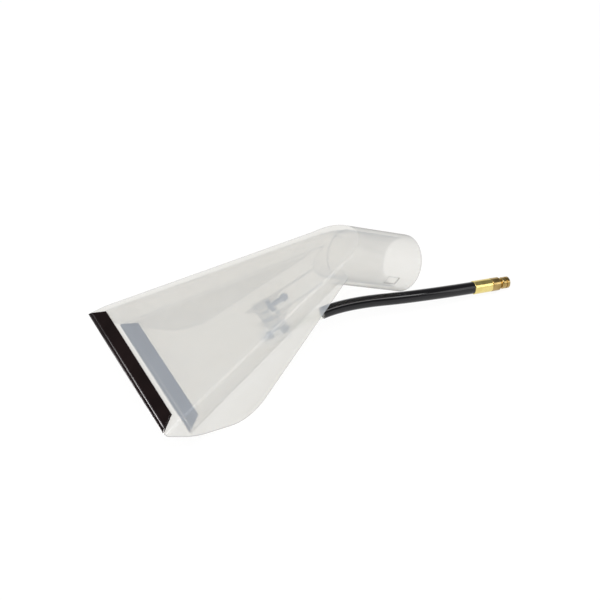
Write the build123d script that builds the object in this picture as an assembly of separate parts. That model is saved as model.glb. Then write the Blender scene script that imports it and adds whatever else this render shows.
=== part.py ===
from build123d import *
import math
import os

# Upholstery wash tool: a clear hand nozzle for a spray-extraction cleaner.
# A flared suction duct runs from a wide mouth up to a knee and a round socket for the wand.
# The side walls carry on below the duct as splash cheeks, and the spray jet hangs between them.
# A short hose feeds the jet and ends in a brass quick-release nipple.
#
# Everything is drawn in the tool's own frame first: the socket's axis is X, with the mouth towards -X,
# Y is across the tool and Z is up in use. It is then turned into the pose in which the tool lies on a
# table: cheeks and nipple on the surface, nose up. Millimetres throughout.

# Socket and knee
socket_bore = 32.0            # inside diameter, takes the wand
socket_wall = 2.5
socket_length = 51.7          # from the knee's crown to the rim
socket_lead_in = 0.8          # chamfer at the rim
socket_depth = 50.0           # from the rim to the stop for the wand
throat_bore = 30.0            # behind the stop
pocket_length = 9.5           # shallow latch pocket on the socket's side
pocket_width = 5.5
pocket_depth = 0.7
pocket_middle = 32.0          # its middle, from the knee's crown
pocket_turn = 10.5            # below the socket's side, degrees
face_angle = 45.2             # duct's flat face against the socket's axis, degrees

# Duct
face_length = 153.7           # flat face, from the knee's crown to the bend above the lip
lip_face_length = 10.7        # steeper face that carries the front lip
lip_bend = 8.5                # how much steeper it is, degrees
flare_angle = 15.6            # each side wall's flare, degrees
duct_wall = 2.5
floor_wall = 2.2              # wall between duct and splash hood
duct_depth_mouth = 20.6       # flat face to the middle of the duct's floor, at the bend
duct_depth_neck = 15.8        # the same, near the neck
neck_station = 40.0           # where duct_depth_neck is measured, along the flat face
edge_round = 1.8              # rounding all round the flat face

# Splash cheeks
mouth_pitch = 8.0             # mouth line's slope against the socket's axis, degrees
skirt_length = 43.5           # rear lip to the cheek's corner
mouth_corner_round = 60.0
skirt_rise = 7.6              # slope of the skirt's lower edge, degrees
cheek_corner_round = 29.0
cheek_back_angle = 65.0       # back edge against the socket's axis, degrees

# Lip strips
lip_height = 10.3
lip_thickness = 1.9
lip_bevel = 2.3               # bevelled edge that meets the fabric
lip_bevel_depth = 1.1
lip_end_slant = 38.0          # slant of the strip's ends, degrees
lip_overhang = 0.5            # strip stands past the wall's edge
front_lip_end_gap = 2.1       # strip's ends, inside the side walls' outer faces
rear_lip_end_gap = 0.11       # the same, inside their inner faces

# Jet mounting under the duct
rib_spacing = 14.0            # between the middles of the two ribs
rib_wall = 1.6
rib_tip_station = 83.0        # where the ribs start, along the flat face
rib_low_station = 71.5        # where they stand deepest
rib_back_station = 33.0       # where they run out at the neck
rib_low_height = 1.8          # low part towards the neck
shelf_drop = 6.4              # duct floor's underside to the shelf
shelf_wall = 2.4
shelf_front_station = 76.0
shelf_back_station = 64.0
shelf_half_width = 13.0
shelf_corner_round = 5.0
key_clearance = 0.12

# Jet
key_bar_station = 67.6        # cross bar of the T-shaped key
key_bar_length = 9.2
key_wall = 2.6
key_stem_end = 57.6           # end of the key's stem
key_end_diameter = 5.2
post_station = 70.5           # round post under the shelf
post_diameter = 11.0
jet_depth = 43.8              # jet's axis below the flat face, at the post
jet_angle = 32.5              # jet's axis against the socket's axis, degrees
barrel_diameter = 12.6
barrel_front = 7.0            # barrel's ends, from the post's middle
barrel_back = 8.0
barrel_chamfer = 0.8
jet_bore = 5.0
jet_tip_diameter = 8.4
jet_tip_length = 3.6
jet_tip_chamfer = 0.9
jet_stem_length = 4.0
jet_slot_width = 0.9
jet_slot_depth = 1.8
jet_orifice = 1.2

# Feed pipe and hose
pipe_diameter = 7.0
pipe_bore = 2.4
pipe_length = 25.3            # barrel to the hose's end
barb_length = 7.0
hose_diameter = 8.0
hose_bore = 4.4
fit_clearance = 0.05
small_chamfer = 0.4           # broken edges of pipe and brass
first_run = 16.65             # straight out of the pipe
middle_run = 52.5             # past the socket's rim, to the bend towards the table
last_run = 50.3               # down to the brass end
hose_gap = 0.75               # between the hose and the socket's rim

# Brass end
ferrule_diameter = 9.0
ferrule_length = 13.8
collar_length = 6.2
groove_gap = 0.5              # dark joint between ferrule and collar
root_diameter = 7.0           # in that joint
neck_length = 2.0
neck_diameter = 4.4
nose_diameter = 7.8
nose_length = 5.9
nose_groove = 1.1             # groove between the nose's two ridges
nose_dip = 0.45
nose_chamfer = 0.7
nipple_bore = 2.6

nipple_dip = 9.7              # its axis below the horizontal, degrees
nipple_swing = 5.3            # its axis off the tool's middle plane, degrees

# Pose on the table
rest_tilt = 29.5              # socket's axis below the horizontal, degrees

socket_radius = socket_bore / 2 + socket_wall
a = math.radians(face_angle)
along = Vector(-math.cos(a), 0, -math.sin(a))         # down the flat face, towards the mouth
into = Vector(math.sin(a), 0, -math.cos(a))           # square to it, into the duct
crown = Vector(0, 0, socket_radius)
duct_plane = Plane(origin=crown, x_dir=along, z_dir=-into)

# The flat face's two edges run tangent into the ellipse in which that face cuts the socket.
flare_slope = math.tan(math.radians(flare_angle))
wall_across = duct_wall / math.cos(math.radians(flare_angle))
cut_slope = math.sqrt(flare_slope ** 2 + math.sin(a) ** 2)
crown_half_width = socket_radius * math.sin(a) / (flare_slope + cut_slope)
tangent_station = (socket_radius * math.sin(a) - crown_half_width * flare_slope) / cut_slope ** 2


def station(s, h=0.0):
    """Point of the middle plane at s along the flat face and h below it."""
    return crown + along * s + into * h


def floor_depth(s):
    """Middle of the duct's floor below the flat face."""
    slope = (duct_depth_mouth - duct_depth_neck) / (face_length - neck_station)
    return duct_depth_neck + slope * (s - neck_station)


def half_width(s):
    """Outside half width of the duct at s along the flat face."""
    return crown_half_width + flare_slope * s


def side_profile(points, reach=90.0):
    """Prism across the tool from a closed side outline."""
    outline = [(p.X, p.Z) for p in points]
    return extrude(Plane.XZ * make_face(Polyline(*outline, close=True)), amount=reach, both=True)


def meet(p, d, q, e):
    """Where two lines of the middle plane cross."""
    k = ((q.X - p.X) * e.Z - (q.Z - p.Z) * e.X) / (d.X * e.Z - d.Z * e.X)
    return p + d * k


b = math.radians(face_angle + lip_bend)
lip_along = Vector(-math.cos(b), 0, -math.sin(b))
lip_into = Vector(math.sin(b), 0, -math.cos(b))
bend = station(face_length)
front_edge = bend + lip_along * lip_face_length
floor_dir = (station(face_length, floor_depth(face_length)) - station(0, floor_depth(0))).normalized()
floor_into = Vector(-floor_dir.Z, 0, floor_dir.X)
mp = math.radians(mouth_pitch)
mouth_dir = Vector(math.cos(mp), 0, -math.sin(mp))
floor_mid = station(0, floor_depth(0))
rear_edge = meet(front_edge, mouth_dir, floor_mid + floor_into * (floor_wall / 2), floor_dir)
skirt_dir = Vector(math.cos(math.radians(skirt_rise)), 0, math.sin(math.radians(skirt_rise)))
cheek_corner = rear_edge + skirt_dir * skirt_length
back_dir = Vector(math.cos(math.radians(cheek_back_angle)), 0, math.sin(math.radians(cheek_back_angle)))
cheek_top = meet(cheek_corner, back_dir, Vector(0, 0, 0), Vector(1, 0, 0))


def flare(inset):
    """Block between the two flared side walls, square to the flat face."""
    near, far = -crown_half_width, face_length + lip_face_length + skirt_length
    plan = Polyline(
        (near, half_width(near) - inset),
        (far, half_width(far) - inset),
        (far, inset - half_width(far)),
        (near, inset - half_width(near)),
        close=True,
    )
    return extrude(duct_plane * make_face(plan), amount=2 * face_length, both=True)


def rod(axis, diameter, start, end):
    """Round bar on an axis, from start to end along it."""
    plane = Plane(origin=axis.position + axis.direction * start, z_dir=axis.direction)
    return extrude(plane * Circle(diameter / 2), amount=end - start)


socket_axis = Axis((0, 0, 0), (1, 0, 0))
socket_root = -3 * socket_radius


def below_face(h):
    """Everything under the flat face, or under a plane h below it."""
    far = 2 * face_length
    return side_profile([station(-far, h), station(far, h), station(far, far), station(-far, far)], far)


def make_housing():
    """One clear moulding: duct, knee, socket, cheeks and the ribs that carry the jet."""
    top = station(tangent_station)
    upper = Polyline(
        (cheek_top.X, cheek_top.Z), (top.X, top.Z),
        (bend.X, bend.Z), (front_edge.X, front_edge.Z),
    )
    lower = FilletPolyline(
        (front_edge.X, front_edge.Z), (rear_edge.X, rear_edge.Z),
        (cheek_corner.X, cheek_corner.Z), (cheek_top.X, cheek_top.Z),
        radius=[mouth_corner_round, cheek_corner_round],
    )
    outline = make_face(upper.edges() + lower.edges())
    blade = extrude(Plane.XZ * outline, amount=half_width(face_length) * 2, both=True)
    tube = rod(socket_axis, 2 * socket_radius, socket_root, socket_length) & below_face(0)
    body = flare(0) & blade
    body = body + tube
    rounded = []
    for e in body.edges():
        on_face = abs((e.center() - crown).dot(into)) < 0.01
        on_lip = abs((e.center() - bend).dot(lip_into)) < 0.01
        across = e.geom_type == GeomType.LINE and abs(e.center().Y) < 1
        if (on_face or on_lip) and not across:
            rounded.append(e)
    body = fillet(rounded, edge_round)

    bend_in = meet(station(0, duct_wall), along, bend + lip_into * duct_wall, lip_along)
    lip_in = bend_in + lip_along * (3 * lip_face_length)
    floor_top = floor_mid - floor_into * (floor_wall / 2)
    floor_under = floor_mid + floor_into * (floor_wall / 2)
    start = station(tangent_station, duct_wall)
    duct_void = side_profile([
        start, bend_in, lip_in,
        meet(lip_in, mouth_dir, floor_top, floor_dir),
        meet(start, into, floor_top, floor_dir),
    ]) & flare(wall_across)
    bore = rod(socket_axis, throat_bore, socket_root, socket_length)
    bore += rod(socket_axis, socket_bore, socket_length - socket_depth, socket_length + 1)
    bore = bore & below_face(duct_wall)
    hood_void = below_floor(0) & flare(wall_across)
    hood_void -= rod(socket_axis, 2 * socket_radius, socket_root, 2 * face_length)
    body = body - hood_void
    body += make_jet_mount(floor_under)
    body = body - duct_void - bore
    pocket = Rot(pocket_turn, 0, 0) * Pos(pocket_middle, -socket_radius, 0)
    body -= pocket * Box(pocket_length, 2 * pocket_depth, pocket_width)
    rim = [
        e for e in body.edges().filter_by(GeomType.CIRCLE)
        if abs(e.center().X - socket_length) < 0.01 and abs(e.radius - socket_bore / 2) < 0.01
    ]
    return chamfer(rim, socket_lead_in)


def make_jet_mount(floor_under):
    """Two ribs under the duct's floor and the shelf with its T-shaped slot."""
    def under(s, drop):
        p = meet(station(s), into, floor_under, floor_dir)
        return p + into * drop

    overlap = -floor_wall / 2
    ribs = None
    tip = under(rib_tip_station, 0)
    outline = [
        under(rib_tip_station, overlap), tip,
        meet(tip, Vector(1, 0, 0), station(rib_low_station), into),
        under(shelf_back_station, shelf_drop + shelf_wall),
        under(shelf_back_station - shelf_drop, rib_low_height),
        under(rib_back_station, rib_low_height), under(rib_back_station, overlap),
    ]
    for side in (-1, 1):
        rib = Pos(0, side * rib_spacing / 2, 0) * side_profile(outline, rib_wall / 2)
        ribs = rib if ribs is None else ribs + rib
    depth = shelf_depth()
    middle = (shelf_front_station + shelf_back_station) / 2
    size = shelf_front_station - shelf_back_station
    shelf = Box(size, 2 * shelf_half_width, shelf_wall)
    shelf = duct_plane * Pos(middle, 0, -depth - shelf_wall / 2) * shelf
    back_corners = shelf.edges().filter_by(Axis((0, 0, 0), into)).sort_by(Axis((0, 0, 0), along))[:2]
    shelf = fillet(back_corners, shelf_corner_round)
    mount = ribs + shelf
    slot = extrude(key_outline(key_clearance), amount=3 * shelf_wall)
    return mount - duct_plane * Pos(0, 0, -depth - 2 * shelf_wall) * slot


def shelf_depth():
    """Shelf's upper face below the flat face, at the shelf's middle."""
    middle = (shelf_front_station + shelf_back_station) / 2
    return floor_depth(middle) + floor_wall / 2 + shelf_drop


def key_outline(grow):
    """T-shaped section of the jet's key, in the duct's plane."""
    bar = Pos(key_bar_station, 0) * Rectangle(key_wall + 2 * grow, key_bar_length + 2 * grow)
    length = key_bar_station - key_stem_end
    stem = Pos(key_bar_station - length / 2, 0) * Rectangle(length, key_wall + 2 * grow)
    end = Pos(key_stem_end, 0) * Circle(key_end_diameter / 2 + grow)
    return bar + stem + end


jet_turn = math.radians(jet_angle)
jet_axis = Axis(station(post_station, jet_depth), (-math.cos(jet_turn), 0, -math.sin(jet_turn)))
pipe_end = -barrel_back - pipe_length


def make_jet_body():
    """Black jet holder: T-shaped key in the shelf, round post and a barrel bored through."""
    post_top = shelf_depth() + shelf_wall + key_clearance
    key = duct_plane * Pos(0, 0, -post_top) * extrude(key_outline(0), amount=post_top)
    key = key & below_floor(key_clearance)
    drop = jet_depth - post_top
    post = duct_plane * Pos(post_station, 0, -post_top - drop / 2) * Cylinder(post_diameter / 2, drop)
    barrel = rod(jet_axis, barrel_diameter, -barrel_back, barrel_front)
    barrel = chamfer(barrel.edges().filter_by(GeomType.CIRCLE), barrel_chamfer)
    body = barrel + post + key
    return body - rod(jet_axis, jet_bore, -2 * barrel_back, 2 * barrel_front)


def below_floor(gap):
    """Everything more than gap under the duct's floor."""
    far = 2 * face_length
    base = floor_mid + floor_into * (floor_wall / 2 + gap)
    return side_profile([
        base - floor_dir * far, base + floor_dir * far,
        base + floor_dir * far + floor_into * far, base - floor_dir * far + floor_into * far,
    ])


def make_jet_nozzle():
    """Fan nozzle: stem in the barrel, flat head with a cross slot over a fine hole."""
    tip = barrel_front + jet_tip_length
    head = rod(jet_axis, jet_tip_diameter, barrel_front, tip)
    head = chamfer(head.faces().sort_by(jet_axis)[-1].edges(), jet_tip_chamfer)
    stem_end = barrel_front - jet_stem_length
    nozzle = head + rod(jet_axis, jet_bore - 2 * fit_clearance, stem_end, barrel_front)
    front = jet_axis.position + jet_axis.direction * tip
    face = Plane(origin=front, x_dir=(0, 1, 0), z_dir=jet_axis.direction)
    nozzle -= face * Box(2 * jet_tip_diameter, jet_slot_width, 2 * jet_slot_depth)
    return nozzle - rod(jet_axis, jet_orifice, -barrel_back, 2 * tip)


def make_feed_pipe():
    """Clear pipe from the jet to the hose, with a barbed end inside the hose."""
    pipe = rod(jet_axis, pipe_diameter, pipe_end, -barrel_back)
    pipe = chamfer(pipe.edges().filter_by(GeomType.CIRCLE), small_chamfer)
    stem = rod(jet_axis, jet_bore - 2 * fit_clearance, -barrel_back, jet_stem_length - barrel_back)
    barb = rod(jet_axis, hose_bore - 2 * fit_clearance, pipe_end - barb_length, pipe_end)
    barb = chamfer(barb.faces().sort_by(jet_axis)[0].edges(), small_chamfer)
    pipe = pipe + stem + barb
    return pipe - rod(jet_axis, pipe_bore, pipe_end - 2 * barb_length, barrel_front)


def make_lip(edge_point, down, out, half_length):
    """Black lip strip on a wall: lower edge at edge_point, standing out of the wall along out."""
    low = edge_point + down * lip_overhang
    section = [
        low, low - down * lip_height, low - down * lip_height + out * lip_thickness,
        low - down * lip_bevel + out * lip_thickness, low + out * (lip_thickness - lip_bevel_depth),
    ]
    strip = side_profile(section, half_length)
    slant = lip_height * math.tan(math.radians(lip_end_slant))
    plan_plane = Plane(origin=low, x_dir=down, z_dir=out)
    plan = Polyline(
        (0, half_length), (-lip_height, half_length - slant),
        (-lip_height, slant - half_length), (0, -half_length), close=True,
    )
    return strip & extrude(plan_plane * make_face(plan), amount=2 * lip_thickness, both=True)


def make_front_lip():
    """Strip on the outside of the steeper face above the mouth."""
    half_length = half_width(face_length + lip_face_length) - front_lip_end_gap
    return make_lip(front_edge, lip_along, -lip_into, half_length)


def make_rear_lip():
    """Strip on the duct's floor, just inside the mouth."""
    floor_top = floor_mid - floor_into * (floor_wall / 2)
    edge = meet(front_edge, mouth_dir, floor_top, floor_dir)
    inner = half_width((rear_edge - crown).dot(along)) - wall_across
    return make_lip(edge, floor_dir, -floor_into, inner - rear_lip_end_gap)


# Tool frame to table frame: tilt, then down on to the cheeks and centred over its own outline.
housing = make_housing()
own_pieces = {
    "housing": housing,
    "front_lip": make_front_lip(),
    "rear_lip": make_rear_lip(),
    "jet_body": make_jet_body(),
    "jet_nozzle": make_jet_nozzle(),
    "feed_pipe": make_feed_pipe(),
}
tilt = Rot(0, rest_tilt, 0)
box = Compound(children=[tilt * p for p in own_pieces.values()]).bounding_box()
table_shift = Vector(-(box.min.X + box.max.X) / 2, 0, -box.min.Z)
to_table = Pos(table_shift.X, 0, table_shift.Z) * tilt


def on_table(p):
    """Point of the tool's frame, taken to the table."""
    r = math.radians(rest_tilt)
    return Vector(
        p.X * math.cos(r) + p.Z * math.sin(r) + table_shift.X,
        p.Y,
        -p.X * math.sin(r) + p.Z * math.cos(r) + table_shift.Z,
    )


hose_start = on_table(jet_axis.position + jet_axis.direction * pipe_end)
hose_second = on_table(jet_axis.position + jet_axis.direction * (pipe_end - first_run))

# The stiff hose passes beside the socket's rim, clear of the wand, and dips until the nipple's nose
# touches the table.
dip = math.radians(nipple_dip)
swing = math.radians(nipple_swing)
nipple_dir = Vector(math.cos(dip) * math.cos(swing), -math.cos(dip) * math.sin(swing), -math.sin(dip))
nose_reach = groove_gap + collar_length + neck_length + nose_length - nose_chamfer
end_height = nose_reach * math.sin(dip) + nose_diameter / 2 * math.cos(dip)
bend_height = end_height + last_run * math.sin(dip)
rim = on_table(Vector(socket_length, 0, 0))
fall = math.radians(rest_tilt)
rim_drop = (rim.Z - bend_height) / math.cos(fall)
rim_reach = socket_radius + hose_diameter / 2 + hose_gap
beside = math.sqrt(max(0, rim_reach ** 2 - rim_drop ** 2))
passing = Vector(rim.X + (bend_height - rim.Z) * math.tan(fall), -beside, bend_height)
heading = Vector(passing.X - hose_second.X, passing.Y - hose_second.Y, 0).normalized()
hose_bend = Vector(hose_second.X, hose_second.Y, bend_height) + heading * middle_run
hose_end = hose_bend + nipple_dir * last_run
route = [hose_start, hose_second, hose_bend, hose_end]


def corner_radii(points):
    """Largest even bends: 0.45 of the shorter run over the tangent of half the turn."""
    radii = []
    for p, c, n in zip(points, points[1:], points[2:]):
        turn = math.radians((c - p).get_angle(n - c))
        radii.append(0.45 * min((c - p).length, (n - c).length) / math.tan(turn / 2))
    return radii


def make_hose():
    """Hose from the pipe's shoulder to the nipple, straight runs joined by tangent arcs."""
    radii = corner_radii(route)
    path = FilletPolyline(*route, radius=radii)
    plane = Plane(origin=path @ 0, z_dir=path % 0)
    ring = Circle(hose_diameter / 2) - Circle(hose_bore / 2)
    hose = sweep(plane * ring, path=path)
    section = math.pi * (hose_diameter ** 2 - hose_bore ** 2) / 4
    print("hose radii", [round(r, 1) for r in radii], "length", round(path.length, 1))
    print("hose volume", round(hose.volume, 1), "section by length", round(section * path.length, 1))
    return hose


nipple_axis = Axis(hose_end, nipple_dir)


def brass_rod(diameter, start, end):
    """Round bar on the nipple's axis, from the hose's end face."""
    return rod(nipple_axis, diameter, start, end)


def make_ferrule():
    """Smooth brass sleeve pressed over the end of the hose."""
    grip = ferrule_length - groove_gap
    sleeve = brass_rod(ferrule_diameter, -grip, groove_gap)
    sleeve = chamfer(sleeve.edges(), small_chamfer)
    return sleeve - brass_rod(hose_diameter + 2 * fit_clearance, -2 * grip, 2 * groove_gap)


def make_nipple():
    """Turned brass nipple: tail in the hose, collar, latch groove and two-ridged nose."""
    tail = brass_rod(hose_bore - 2 * fit_clearance, -barb_length, 0)
    start = groove_gap
    collar = brass_rod(ferrule_diameter, start, start + collar_length)
    collar = chamfer(collar.edges(), small_chamfer)
    root = brass_rod(root_diameter, 0, 2 * start)
    neck_end = start + collar_length + neck_length
    neck = brass_rod(neck_diameter, start, neck_end + nose_length / 2)
    nose = brass_rod(nose_diameter, neck_end, neck_end + nose_length)
    nose = chamfer(nose.edges().filter_by(GeomType.CIRCLE), nose_chamfer)
    middle = neck_end + nose_length / 2
    band = brass_rod(2 * nose_diameter, middle - nose_groove / 2, middle + nose_groove / 2)
    band -= brass_rod(nose_diameter - 2 * nose_dip, middle - nose_groove, middle + nose_groove)
    nipple = tail + root + collar + neck + nose - band
    return nipple - brass_rod(nipple_bore, -2 * barb_length, neck_end + 2 * nose_length)


pieces = {name: to_table * piece for name, piece in own_pieces.items()}
pieces["hose"] = make_hose()
pieces["hose_ferrule"] = make_ferrule()
pieces["hose_nipple"] = make_nipple()

os.makedirs("parts", exist_ok=True)
for name, piece in pieces.items():
    export_step(piece, f"parts/{name}.step")

knee = on_table(Vector(0, 0, 0))
print("socket rim", [round(v, 3) for v in rim], "knee", [round(v, 3) for v in knee])
print("hose route", [[round(v, 3) for v in p] for p in route])
print("nipple axis", [round(v, 4) for v in nipple_axis.direction])
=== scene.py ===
"""Studio scene of a clear upholstery wash tool with lip strips, spray jet, feed hose and brass nipple."""

import logging
from dataclasses import dataclass, field
from enum import Enum

import bpy
from mathutils import Matrix, Vector


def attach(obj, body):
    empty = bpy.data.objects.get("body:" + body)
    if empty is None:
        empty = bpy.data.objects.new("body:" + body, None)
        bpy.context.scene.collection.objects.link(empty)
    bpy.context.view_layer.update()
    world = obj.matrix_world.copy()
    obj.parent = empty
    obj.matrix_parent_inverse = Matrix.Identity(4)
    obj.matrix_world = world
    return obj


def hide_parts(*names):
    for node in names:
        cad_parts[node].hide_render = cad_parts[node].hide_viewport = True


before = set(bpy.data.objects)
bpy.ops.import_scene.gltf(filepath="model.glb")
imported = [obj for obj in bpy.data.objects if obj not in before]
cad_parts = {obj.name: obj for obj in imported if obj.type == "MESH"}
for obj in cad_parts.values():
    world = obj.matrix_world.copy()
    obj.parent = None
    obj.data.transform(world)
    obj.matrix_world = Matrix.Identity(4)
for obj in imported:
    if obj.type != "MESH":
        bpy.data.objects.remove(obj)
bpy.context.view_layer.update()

LOG = logging.getLogger("wash_tool")
MM = 0.001
BODY = "root"

Colour = tuple[float, float, float, float]
Triple = tuple[float, float, float]
Pair = tuple[float, float]


class Slot(Enum):
    """Material slots of the record."""

    CLEAR = "clear_plastic"
    STRIP = "black_strip"
    JET = "black_plastic"
    PIPE = "clear_pipe"
    HOSE = "black_hose"
    BRASS = "brass"


def srgb(code: str) -> Colour:
    """Turn an sRGB hex code into a linear colour.

    Args:
        code: Six hex digits with a leading hash.

    Returns:
        Linear red, green, blue and alpha.
    """
    parts = [int(code[i : i + 2], 16) / 255 for i in (1, 3, 5)]
    red, green, blue = [c / 12.92 if c <= 0.04045 else ((c + 0.055) / 1.055) ** 2.4 for c in parts]
    return (red, green, blue, 1.0)


@dataclass
class Tree:
    """The nodes of one material or of the world."""

    owner: bpy.types.Material | bpy.types.World

    @classmethod
    def new(cls, owner: bpy.types.Material | bpy.types.World) -> "Tree":
        """Give a material or world an empty tree.

        Args:
            owner: The new material or world.

        Returns:
            The empty tree.
        """
        owner.use_nodes = True
        owner.node_tree.nodes.clear()
        return cls(owner)

    def add(
        self, kind: str, inputs: dict[str | int, object] | None = None, **settings: object
    ) -> bpy.types.Node:
        """Add a node with its settings and links.

        Args:
            kind: Blender's node type without its common prefix.
            inputs: A value, a node or an output socket for each input; a node stands for its first output.
            **settings: Properties of the node itself.

        Returns:
            The new node.
        """
        tree = self.owner.node_tree
        node = tree.nodes.new("ShaderNode" + kind)
        for key, value in settings.items():
            setattr(node, key, value)
        for key, value in (inputs or {}).items():
            source = value.outputs[0] if isinstance(value, bpy.types.Node) else value
            if isinstance(source, bpy.types.NodeSocket):
                tree.links.new(source, node.inputs[key])
            else:
                node.inputs[key].default_value = source
        return node

    def close(self, shader: bpy.types.Node) -> bpy.types.Material | bpy.types.World:
        """Send a shader to the output.

        Args:
            shader: The last shader node.

        Returns:
            The finished material or world.
        """
        kind = "OutputWorld" if isinstance(self.owner, bpy.types.World) else "OutputMaterial"
        self.add(kind, {"Surface": shader})
        return self.owner


@dataclass(frozen=True)
class HazyClear:
    """Moulded clear plastic with a milky haze: sharp straight through, soft where light scatters.

    Haze scatters bluish light and lets warm light pass, so dark things behind it look blue-grey. Cut edges
    and corners show the plastic's depth as darker lines.
    """

    name: str
    milk: str
    edge: str
    tint: str
    haze: float
    edge_haze: float
    line_haze: float
    line_mm: float
    scatter: float
    gloss: float
    cloud_mm: float = 38.0
    cloud_spread: float = 0.012
    flow_mm: float = 9.0
    line_depth: float = 0.62
    rim_power: float = 2.6
    most_gloss: float = 0.07

    def build(self) -> bpy.types.Material:
        """Make the material."""
        tree = Tree.new(bpy.data.materials.new(self.name))
        return tree.close(self.shade(tree))

    def shade(self, tree: Tree) -> bpy.types.Node:
        """Add the plastic to a tree.

        Args:
            tree: The material's nodes.

        Returns:
            The plastic's shader node.
        """
        place = tree.add("TexCoord").outputs["Object"]
        side = tree.add("NewGeometry")
        # Slow clouds in the haze.
        cloud = tree.add("TexNoise", {"Vector": place, "Scale": 1 / (self.cloud_mm * MM), "Detail": 2.0})
        # Faint flow lines along the moulding.
        drawn = tree.add("Mapping", {"Vector": place, "Scale": (0.25, 1, 1)})
        flow = tree.add("TexNoise", {"Vector": drawn, "Scale": 1 / (self.flow_mm * MM), "Detail": 2.0})
        normal = tree.add("Bump", {"Height": flow, "Strength": 0.1, "Distance": 0.03 * MM})
        ends = {"From Min": 0.3, "From Max": 0.7}
        rough = tree.add("MapRange", {"Value": cloud, **ends, "To Min": 0.04, "To Max": 0.08})
        thin, thick = self.haze - self.cloud_spread, self.haze + self.cloud_spread
        base = tree.add("MapRange", {"Value": cloud, **ends, "To Min": thin, "To Max": thick})
        # Lines along sharp edges and inside corners, where the rounded normal leaves the true one.
        rounded = tree.add("Bevel", {"Radius": self.line_mm * MM}, samples=8)
        turn = tree.add("VectorMath", {0: rounded, 1: side.outputs["Normal"]}, operation="DOT_PRODUCT")
        sharp = {"From Min": 0.995, "From Max": 0.9, "To Max": self.line_depth}
        line = tree.add("MapRange", {"Value": turn.outputs["Value"], **sharp})
        facing = tree.add("LayerWeight", {"Blend": 0.5}).outputs["Facing"]
        grazing = tree.add("Math", {0: facing, 1: self.rim_power}, operation="POWER")
        deep = tree.add("Math", {0: line, 1: grazing}, operation="MAXIMUM")
        tones = {0: deep, 6: srgb(self.milk), 7: srgb(self.edge)}
        tone = tree.add("Mix", tones, data_type="RGBA").outputs[2]
        skin = tree.add("BsdfDiffuse", {"Color": tone, "Normal": normal})
        glow = tree.add("BsdfTranslucent", {"Color": tone})
        milk = tree.add("MixShader", {0: self.scatter, 1: skin, 2: glow})
        through = tree.add("BsdfTransparent", {"Color": srgb(self.tint)})
        rim = tree.add("Math", {0: grazing, 1: self.edge_haze, 2: base}, operation="MULTIPLY_ADD")
        # A wall's haze counts once, where the eye enters the plastic, and so does its mirror gloss.
        entered = tree.add("Math", {0: 1.0, 1: side.outputs["Backfacing"]}, operation="SUBTRACT")
        veil = {0: line, 1: self.line_haze, 2: rim}
        share = tree.add("Math", veil, operation="MULTIPLY_ADD", use_clamp=True)
        share = tree.add("Math", {0: share, 1: entered}, operation="MULTIPLY")
        body = tree.add("MixShader", {0: share, 1: through, 2: milk})
        shine = tree.add("BsdfGlossy", {"Color": (1, 1, 1, 1), "Roughness": rough, "Normal": normal})
        fresnel = tree.add("Fresnel", {"IOR": 1.45, "Normal": normal})
        amount = tree.add("Math", {0: fresnel, 1: self.gloss}, operation="MULTIPLY")
        amount = tree.add("Math", {0: amount, 1: self.most_gloss}, operation="MINIMUM")
        amount = tree.add("Math", {0: amount, 1: entered}, operation="MULTIPLY")
        return tree.add("MixShader", {0: amount, 1: body, 2: shine})


@dataclass(frozen=True)
class Plain:
    """Opaque moulded plastic or rubber with a fine grain."""

    name: str
    colour: str
    light: str
    rough: Pair
    grain_mm: float
    relief_mm: float
    shine: float = 0.5

    def build(self) -> bpy.types.Material:
        """Make the material."""
        tree = Tree.new(bpy.data.materials.new(self.name))
        return tree.close(self.shade(tree))

    def shade(self, tree: Tree) -> bpy.types.Node:
        """Add the plastic to a tree.

        Args:
            tree: The material's nodes.

        Returns:
            The plastic's shader node.
        """
        place = tree.add("TexCoord").outputs["Object"]
        grain = tree.add("TexNoise", {"Vector": place, "Scale": 1 / (self.grain_mm * MM), "Detail": 4.0})
        cloud = tree.add("TexNoise", {"Vector": place, "Scale": 1 / (14 * MM), "Detail": 3.0})
        share = tree.add("MapRange", {"Value": cloud, "From Min": 0.35, "From Max": 0.75})
        tones = {0: share, 6: srgb(self.colour), 7: srgb(self.light)}
        tone = tree.add("Mix", tones, data_type="RGBA").outputs[2]
        low, high = self.rough
        span = {"From Min": 0.3, "From Max": 0.7, "To Min": low, "To Max": high}
        rough = tree.add("MapRange", {"Value": cloud, **span})
        normal = tree.add("Bump", {"Height": grain, "Strength": 0.6, "Distance": self.relief_mm * MM})
        look = {"Base Color": tone, "Roughness": rough, "Normal": normal, "Specular IOR Level": self.shine}
        return tree.add("BsdfPrincipled", look)


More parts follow.
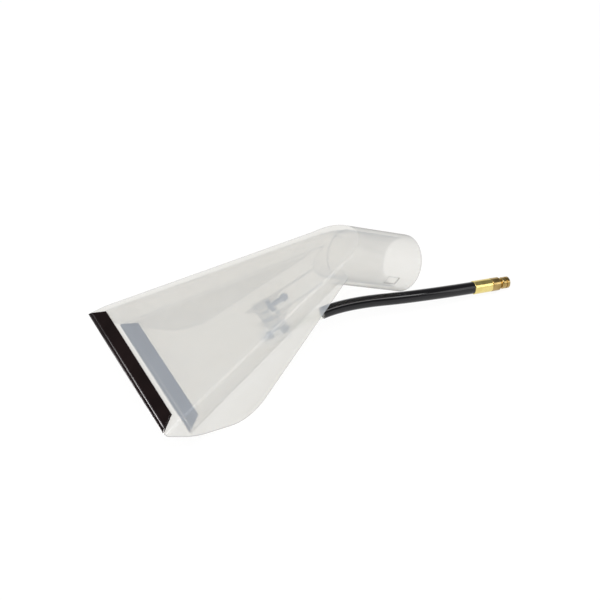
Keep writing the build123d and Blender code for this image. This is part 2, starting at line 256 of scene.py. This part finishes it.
@dataclass(frozen=True)
class HighlightedStrip:
    """Rubber strip with a painted highlight along its lower long edge, brighter at one end than at the
    other.
    """

    rubber: Plain
    edge: str
    edge_mm: float
    downhill: Triple
    highlight_span_mm: Pair

    def build(self) -> bpy.types.Material:
        """Make the material."""
        tree = Tree.new(bpy.data.materials.new(self.rubber.name))
        # The rounded normal leans downhill on the broad face only, so the edge's own thin face stays black.
        rounded = tree.add("Bevel", {"Radius": self.edge_mm * MM}, samples=8)
        normal = tree.add("NewGeometry").outputs["Normal"]
        lean = tree.add("VectorMath", {0: rounded, 1: normal}, operation="SUBTRACT")
        lean = tree.add("VectorMath", {0: lean, 1: self.downhill}, operation="DOT_PRODUCT").outputs["Value"]
        # Painted highlight: a pale band along the lower edge of the broad face, fading out along Y.
        band = tree.add("MapRange", {"Value": lean, "From Min": 0.08, "From Max": 0.22})
        along = tree.add("SeparateXYZ", {0: tree.add("TexCoord").outputs["Object"]}).outputs["Y"]
        start, full = self.highlight_span_mm
        reach = {"From Min": start * MM, "From Max": full * MM, "To Min": 0.08}
        painted_highlight_fade = tree.add("MapRange", {"Value": along, **reach})
        share = tree.add("Math", {0: band, 1: painted_highlight_fade}, operation="MULTIPLY")
        bright = tree.add("BsdfPrincipled", {"Base Color": srgb(self.edge), "Roughness": 0.25})
        return tree.close(tree.add("MixShader", {0: share, 1: self.rubber.shade(tree), 2: bright}))


@dataclass(frozen=True)
class KeyedJet:
    """Smoky clear jet body with a dark key on top."""

    name: str
    key: Plain
    smoke: HazyClear
    into: Triple
    key_end: float

    def build(self) -> bpy.types.Material:
        """Make the material."""
        tree = Tree.new(bpy.data.materials.new(self.name))
        place = tree.add("TexCoord").outputs["Object"]
        depth = tree.add("VectorMath", {0: place, 1: self.into}, operation="DOT_PRODUCT").outputs["Value"]
        fade = {"From Min": self.key_end - 0.2 * MM, "From Max": self.key_end + 0.2 * MM}
        below = tree.add("MapRange", {"Value": depth, **fade})
        parts = {0: below, 1: self.key.shade(tree), 2: self.smoke.shade(tree)}
        return tree.close(tree.add("MixShader", parts))


@dataclass(frozen=True)
class TurnedMetal:
    """Turned metal, polished, with faint tool rings and a little tarnish."""

    name: str
    colour: str
    tarnish: str
    rough: Pair

    def build(self) -> bpy.types.Material:
        """Make the material."""
        tree = Tree.new(bpy.data.materials.new(self.name))
        place = tree.add("TexCoord").outputs["Object"]
        cloud = tree.add("TexNoise", {"Vector": place, "Scale": 1 / (5 * MM), "Detail": 4.0})
        # Rings across the axis, 0.5 mm apart so that they show at this size.
        lathe = tree.add("Mapping", {"Vector": place, "Scale": (1.0, 0.1, 0.1)})
        rings = tree.add("TexNoise", {"Vector": lathe, "Scale": 1 / (0.5 * MM), "Detail": 2.0})
        share = tree.add("MapRange", {"Value": cloud, "From Min": 0.3, "From Max": 0.6})
        tones = {0: share, 6: srgb(self.tarnish), 7: srgb(self.colour)}
        tone = tree.add("Mix", tones, data_type="RGBA").outputs[2]
        low, high = self.rough
        span = {"From Min": 0.3, "From Max": 0.7, "To Min": low, "To Max": high}
        rough = tree.add("MapRange", {"Value": cloud, **span})
        normal = tree.add("Bump", {"Height": rings, "Strength": 0.06, "Distance": 0.004 * MM})
        look = {"Base Color": tone, "Metallic": 1.0, "Roughness": rough, "Normal": normal}
        return tree.close(tree.add("BsdfPrincipled", look))


# Clear impact plastic, injection moulded and lightly hazed: a pale grey veil over white, blue-grey over
# black, and darker lines where the walls turn.
HOUSING = HazyClear(
    "moulded_hazy_clear", milk="#CED6E2", edge="#6C6F72", tint="#FFFBF3",
    haze=0.48, edge_haze=0.40, line_haze=0.32, line_mm=1.7, scatter=0.5, gloss=0.9,
)
# Clear plastic tube, extruded: much clearer than the housing, with grey rims.
PIPE = HazyClear(
    "extruded_clear_pipe", milk="#E4E3DE", edge="#B8B8B8", tint="#FDFDFB",
    haze=0.12, edge_haze=0.30, line_haze=0.25, line_mm=0.3, scatter=0.5, gloss=0.9,
)
# Thin smoky plastic, moulded: a faint blue-grey ghost under the duct.
SMOKE = HazyClear(
    "moulded_smoky_clear", milk="#B4BAC6", edge="#A4A8B0", tint="#FAFBFC",
    haze=0.05, edge_haze=0.08, line_haze=0.05, line_mm=0.3, scatter=0.5, gloss=0.5,
)
# Hard rubber, moulded smooth: brown-black. The strips made from it carry a painted highlight along their
# lower edge, strongest towards -Y.
RUBBER = Plain(
    "moulded_black_rubber", "#120C0C", "#191111", (0.2, 0.28), grain_mm=0.6, relief_mm=0.008, shine=0.05
)
STRIP = HighlightedStrip(RUBBER, "#F4F1F1", edge_mm=1.5, downhill=(-0.86, 0.0, -0.51), highlight_span_mm=(35.0, -50.0))
# Black acetal, moulded matt: dark with no mirror.
KEY = Plain("moulded_black_acetal", "#141416", "#1E1E22", (0.38, 0.5), grain_mm=0.4, relief_mm=0.03)
JET = KeyedJet("keyed_jet", KEY, SMOKE, into=(0.2707, 0.0, -0.9627), key_end=-35.7 * MM)
# Black rubber hose, extruded shiny: deep black with a sharp light streak along its top.
HOSE = Plain(
    "extruded_black_hose", "#060508", "#0C0B0F", (0.07, 0.11), grain_mm=0.8, relief_mm=0.004, shine=0.42
)
# Brass sleeve, polished: pale yellow with clean light and dark bands.
BRASS = TurnedMetal("polished_brass_sleeve", "#E9D78C", "#DCC67A", (0.12, 0.2))
# Brass straight from the lathe: darker and browner than the sleeve.
NIPPLE = TurnedMetal("turned_brass_nipple", "#B9A06A", "#967C48", (0.1, 0.18))

FINISHES: dict[Slot, HazyClear | Plain | HighlightedStrip | KeyedJet | TurnedMetal] = {
    Slot.CLEAR: HOUSING,
    Slot.STRIP: STRIP,
    Slot.JET: JET,
    Slot.PIPE: PIPE,
    Slot.HOSE: HOSE,
    Slot.BRASS: BRASS,
}

NODE_SLOTS: dict[str, Slot] = {
    "housing": Slot.CLEAR,
    "front_lip": Slot.STRIP,
    "rear_lip": Slot.STRIP,
    "jet_body": Slot.JET,
    "jet_nozzle": Slot.JET,
    "feed_pipe": Slot.PIPE,
    "hose_ferrule": Slot.BRASS,
    "hose_nipple": Slot.BRASS,
}

# Pieces whose finish differs from the rest of their slot.
OWN_FINISHES: dict[str, TurnedMetal] = {"hose_nipple": NIPPLE}


def paint(obj: bpy.types.Object, material: bpy.types.Material) -> None:
    """Give an object one material.

    Args:
        obj: The object.
        material: Its material.
    """
    obj.data.materials.clear()
    obj.data.materials.append(material)


@dataclass
class Body:
    """The rigid pieces that keep their solid shape."""

    materials: dict[Slot, bpy.types.Material]

    def build(self) -> None:
        """Paint each solid with its finish."""
        own = {name: finish.build() for name, finish in OWN_FINISHES.items()}
        for name, slot in NODE_SLOTS.items():
            paint(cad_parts[name], own.get(name, self.materials[slot]))
            LOG.info("painted %s", name)


@dataclass
class FeedHose:
    """The black hose on its smooth route from the feed pipe to the brass end."""

    material: bpy.types.Material
    diameter: float = 8.0 * MM
    length: float = 118.9 * MM
    route_mm: tuple[Triple, ...] = (
        (33.993, 0.0, 14.030),
        (50.620, 0.0, 14.901),
        (99.799, -18.377, 14.661),
        (149.168, -22.957, 6.186),
    )

    def build(self) -> bpy.types.Object:
        """Make the hose as a smooth curve with a round section.

        Returns:
            The curve object.
        """
        curve = bpy.data.curves.new("feed_hose", "CURVE")
        curve.dimensions = "3D"
        spline = curve.splines.new("NURBS")
        spline.points.add(len(self.route_mm) - 1)
        for point, place in zip(spline.points, self.route_mm):
            point.co = (*[v * MM for v in place], 1.0)
        spline.order_u = 3
        spline.use_endpoint_u = True
        spline.resolution_u = 24
        curve.bevel_depth = self.diameter / 2
        curve.bevel_resolution = 10
        curve.use_fill_caps = True
        obj = bpy.data.objects.new("feed_hose", curve)
        bpy.context.scene.collection.objects.link(obj)
        paint(obj, self.material)
        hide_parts("hose")
        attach(obj, BODY)
        LOG.info("laid the hose")
        return obj


@dataclass(frozen=True)
class Lamp:
    """One soft area light."""

    name: str
    place: Triple
    target: Triple
    size: Pair
    power: float
    colour: Triple = (1.0, 1.0, 1.0)

    def build(self) -> None:
        """Add the light to the scene."""
        data = bpy.data.lights.new(self.name, "AREA")
        data.shape = "RECTANGLE"
        data.size, data.size_y = self.size
        data.energy = self.power
        data.color = self.colour
        obj = bpy.data.objects.new(self.name, data)
        obj.location = self.place
        aim = Vector(self.target) - Vector(self.place)
        obj.rotation_euler = aim.to_track_quat("-Z", "Y").to_euler()
        bpy.context.scene.collection.objects.link(obj)


@dataclass
class Studio:
    """White table, soft light and the camera."""

    camera_mm: Triple = (-258.4, -501.6, 561.9)
    right: Triple = (0.876, -0.4824, 0.0)
    up: Triple = (0.3274, 0.5946, 0.7343)
    forward: Triple = (0.3542, 0.6432, -0.6788)
    lens: float = 74.74
    world_light: float = 0.76
    room_light: float = 0.25
    room_rise: Pair = (0.22, 0.45)
    table_white: float = 0.92
    lamps: tuple[Lamp, ...] = field(
        default=(
            Lamp("back_box", (-0.06, 0.84, 1.0), (0, 0, 0.03), (1.8, 1.5), 2.0),
            Lamp("top_box", (-0.15, -0.33, 1.08), (0, 0, 0.03), (1.6, 0.4), 9.5),
            Lamp("front_box", (-0.55, -0.75, 0.85), (0, 0, 0.03), (0.5, 0.5), 4.0),
            Lamp("right_box", (0.66, -0.68, 0.59), (0.05, -0.03, 0.03), (0.5, 0.5), 1.4),
        )
    )

    def build(self) -> None:
        """Set up floor, world, lights and camera."""
        self.add_floor()
        self.add_world()
        for lamp in self.lamps:
            lamp.build()
        self.add_camera()
        bpy.context.scene.view_settings.view_transform = "Standard"

    def add_floor(self) -> None:
        """Add the white table that the tool lies on; it keeps the tool's shadow."""
        bpy.ops.object.select_all(action="DESELECT")
        bpy.ops.mesh.primitive_plane_add(size=8.0, location=(0, 0, -0.2 * MM))
        floor = bpy.context.object
        floor.name = "table"
        tree = Tree.new(bpy.data.materials.new("white_table"))
        share = tree.add("Math", {0: self.add_sight(tree), 1: self.table_white}, operation="MULTIPLY")
        soft = tree.add("BsdfDiffuse", {"Color": srgb("#F4F4F3")})
        white = tree.add("Emission", {"Color": (1, 1, 1, 1), "Strength": 1.0})
        paint(floor, tree.close(tree.add("MixShader", {0: share, 1: soft, 2: white})))

    def add_world(self) -> None:
        """Fill the surroundings with even white light."""
        tree = Tree.new(bpy.data.worlds.new("studio"))
        dim = tree.add("Background", {"Color": (1, 1, 1, 1), "Strength": self.world_light})
        # Mirrors see the white backdrop round the table and a dimmer room above it.
        path = tree.add("LightPath").outputs
        height = tree.add("SeparateXYZ", {0: tree.add("TexCoord").outputs["Generated"]}).outputs["Z"]
        low, high = self.room_rise
        room = {"From Min": low, "From Max": high, "To Min": 1.0, "To Max": self.room_light}
        mirrored = tree.add("MapRange", {"Value": height, **room})
        level = tree.add("Mix", {0: path["Is Glossy Ray"], 2: 1.0, 3: mirrored}, data_type="FLOAT")
        white = tree.add("Background", {"Color": (1, 1, 1, 1), "Strength": level})
        mix = tree.add("MixShader", {0: self.add_sight(tree), 1: dim, 2: white})
        bpy.context.scene.world = tree.close(mix)

    @staticmethod
    def add_sight(tree: Tree) -> bpy.types.Node:
        """Add the test for rays that see the surroundings straight, in a mirror or through glass.

        Args:
            tree: The nodes of the floor or the world.

        Returns:
            The node that gives 1 for such a ray.
        """
        path = tree.add("LightPath").outputs
        seen = {0: path["Is Camera Ray"], 1: path["Is Glossy Ray"]}
        straight = tree.add("Math", seen, operation="MAXIMUM")
        return tree.add("Math", {0: straight, 1: path["Is Transmission Ray"]}, operation="MAXIMUM")

    def add_camera(self) -> None:
        """Put the camera where the photograph was taken from."""
        data = bpy.data.cameras.new("camera")
        data.sensor_width = 36.0
        data.lens = self.lens
        data.clip_start = 0.01
        obj = bpy.data.objects.new("camera", data)
        turn = Matrix((Vector(self.right), Vector(self.up), -Vector(self.forward))).transposed().to_4x4()
        obj.matrix_world = Matrix.Translation(Vector(self.camera_mm) * MM) @ turn
        bpy.context.scene.collection.objects.link(obj)
        bpy.context.scene.camera = obj


def main() -> None:
    """Dress the frame and light it."""
    logging.basicConfig(level=logging.INFO)
    materials = {slot: finish.build() for slot, finish in FINISHES.items()}
    Body(materials).build()
    FeedHose(materials[Slot.HOSE]).build()
    Studio().build()


if __name__ == "__main__":
    main()
